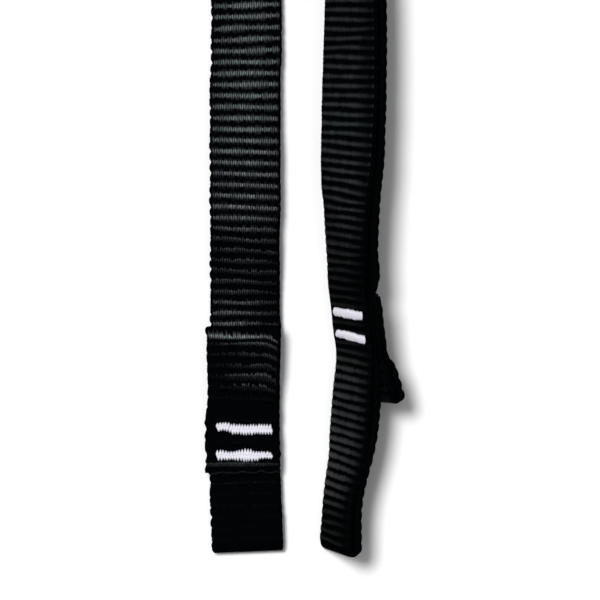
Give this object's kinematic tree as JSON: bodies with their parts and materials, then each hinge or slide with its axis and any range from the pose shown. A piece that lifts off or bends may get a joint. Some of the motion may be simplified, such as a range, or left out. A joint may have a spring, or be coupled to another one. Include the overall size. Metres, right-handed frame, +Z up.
{
  "type": "daisy chain",
  "caption": "Climbing daisy chain of doubled black webbing, white bar tacks making pockets, a folded clip loop at each and an eye at both ends, laid doubled over.",
  "frame": {"origin": "under the middle of the box of the laid-out chain, on the floor that it lies on", "axes": "+Z up from the floor, +Y along the two legs from the end eyes towards the open loop, +X from the clip-in leg to the harness leg"},
  "size_m": [0.1844, 0.421, 0.0221],
  "materials": {
    "webbing": "matte ribbed nylon webbing",
    "thread": "satin sewing thread"
  },
  "bodies": {
    "link_1": {"front_strap_1": "webbing", "back_strap_1": "webbing", "loop_base_1": "webbing", "rear_bar_tack_1": "thread", "fore_bar_tack_1": "thread"},
    "link_2": {"front_strap_2": "webbing", "back_strap_2": "webbing", "loop_base_2": "webbing", "rear_bar_tack_2": "thread", "fore_bar_tack_2": "thread"},
    "link_3": {"front_strap_3": "webbing", "back_strap_3": "webbing", "loop_base_3": "webbing", "rear_bar_tack_3": "thread", "fore_bar_tack_3": "thread"},
    "link_4": {"front_strap_4": "webbing", "back_strap_4": "webbing", "loop_base_4": "webbing", "rear_bar_tack_4": "thread", "fore_bar_tack_4": "thread"},
    "link_5": {"front_strap_5": "webbing", "back_strap_5": "webbing", "loop_base_5": "webbing", "rear_bar_tack_5": "thread", "fore_bar_tack_5": "thread"},
    "link_6": {"front_strap_6": "webbing", "back_strap_6": "webbing", "loop_base_6": "webbing", "rear_bar_tack_6": "thread", "fore_bar_tack_6": "thread"},
    "link_7": {"front_strap_7": "webbing", "back_strap_7": "webbing", "loop_base_7": "webbing", "rear_bar_tack_7": "thread", "fore_bar_tack_7": "thread"},
    "link_8": {"front_strap_8": "webbing", "back_strap_8": "webbing", "loop_base_8": "webbing", "rear_bar_tack_8": "thread", "fore_bar_tack_8": "thread"},
    "link_9": {"front_strap_9": "webbing", "back_strap_9": "webbing", "loop_base_9": "webbing", "rear_bar_tack_9": "thread", "fore_bar_tack_9": "thread"},
    "loop_1": {"clip_loop_1": "webbing"},
    "loop_2": {"clip_loop_2": "webbing"},
    "loop_3": {"clip_loop_3": "webbing"},
    "loop_4": {"clip_loop_4": "webbing"},
    "loop_5": {"clip_loop_5": "webbing"},
    "loop_6": {"clip_loop_6": "webbing"},
    "loop_7": {"clip_loop_7": "webbing"},
    "loop_8": {"clip_loop_8": "webbing"},
    "loop_9": {"clip_loop_9": "webbing"},
    "eye_1": {"clip_in_eye": "webbing"},
    "eye_2": {"harness_eye": "webbing"}
  },
  "joints": [
    {"name": "pocket_flex_1", "type": "hinge", "parent": "link_2", "child": "link_1", "pos_m": [-0.01479, -0.1288, 0.0021], "axis": [-1, -0.0038, 0], "range_deg": [0, 60]},
    {"name": "pocket_flex_2", "type": "hinge", "parent": "link_3", "child": "link_2", "pos_m": [-0.01465, -0.01725, 0.00678], "axis": [-0.7871, 0.124, -0.6043], "range_deg": [0, 60]},
    {"name": "pocket_flex_3", "type": "hinge", "parent": "link_4", "child": "link_3", "pos_m": [-0.0758, 0.06894, 0.0084], "axis": [0, 0, -1], "range_deg": [0, 60]},
    {"name": "pocket_flex_4", "type": "hinge", "parent": "link_5", "child": "link_4", "pos_m": [-0.06446, 0.17254, 0.0084], "axis": [0, 0, -1], "range_deg": [0, 60]},
    {"name": "pocket_flex_5", "type": "hinge", "parent": "link_5", "child": "link_6", "pos_m": [0.03848, 0.18882, 0.0084], "axis": [0, 0, 1], "range_deg": [0, 60]},
    {"name": "pocket_flex_6", "type": "hinge", "parent": "link_6", "child": "link_7", "pos_m": [0.08124, 0.09378, 0.0084], "axis": [0, 0, 1], "range_deg": [0, 60]},
    {"name": "pocket_flex_7", "type": "hinge", "parent": "link_7", "child": "link_8", "pos_m": [0.01282, 0.00926, 0.0103], "axis": [0.0133, 0.0377, 0.9992], "range_deg": [0, 60]},
    {"name": "pocket_flex_8", "type": "hinge", "parent": "link_8", "child": "link_9", "pos_m": [0.01017, -0.1023, 0.01531], "axis": [0.7441, -0.0108, 0.668], "range_deg": [-45, 0]},
    {"name": "clip_loop_hinge_1", "type": "hinge", "parent": "link_1", "child": "loop_1", "pos_m": [-0.015, -0.17869, 0.0044], "axis": [1, -0.0093, 0], "range_deg": [0, 85.5]},
    {"name": "clip_loop_hinge_2", "type": "hinge", "parent": "link_2", "child": "loop_2", "pos_m": [-0.01479, -0.0667, 0.0044], "axis": [1, -0.0024, 0], "range_deg": [-0.5, 84]},
    {"name": "clip_loop_hinge_3", "type": "hinge", "parent": "link_3", "child": "loop_3", "pos_m": [-0.04056, 0.0338, 0.0084], "axis": [0, 0, 1], "range_deg": [-6.5, 78]},
    {"name": "clip_loop_hinge_4", "type": "hinge", "parent": "link_4", "child": "loop_4", "pos_m": [-0.08904, 0.1291, 0.0084], "axis": [0, 0, 1], "range_deg": [-2.5, 82]},
    {"name": "clip_loop_hinge_5", "type": "hinge", "parent": "link_5", "child": "loop_5", "pos_m": [-0.00989, 0.20113, 0.0084], "axis": [0, 0, 1], "range_deg": [-10.5, 74]},
    {"name": "clip_loop_hinge_6", "type": "hinge", "parent": "link_6", "child": "loop_6", "pos_m": [0.0804, 0.14368, 0.0084], "axis": [0, 0, 1], "range_deg": [-3.5, 81]},
    {"name": "clip_loop_hinge_7", "type": "hinge", "parent": "link_7", "child": "loop_7", "pos_m": [0.0487, 0.04147, 0.00842], "axis": [0.0265, 0.0188, 0.9995], "range_deg": [-8.5, 76]},
    {"name": "clip_loop_hinge_8", "type": "hinge", "parent": "link_8", "child": "loop_8", "pos_m": [0.01242, -0.05246, 0.01227], "axis": [0.429, 0.0377, 0.9025], "range_deg": [-7, 30]},
    {"name": "clip_loop_hinge_9", "type": "hinge", "parent": "link_9", "child": "loop_9", "pos_m": [0.01268, -0.16393, 0.01088], "axis": [0.4728, -0.0355, 0.8805], "range_deg": [-3.5, 40]},
    {"name": "clip_in_eye_flex", "type": "hinge", "parent": "link_1", "child": "eye_1", "pos_m": [-0.0149, -0.19362, 0.0021], "axis": [-0.9996, -0.0288, 0], "range_deg": [0, 60]},
    {"name": "harness_eye_flex", "type": "hinge", "parent": "link_9", "child": "eye_2", "pos_m": [0.01066, -0.1642, 0.01195], "axis": [0.4728, -0.0357, 0.8805], "range_deg": [-45, 0]}
  ]
}
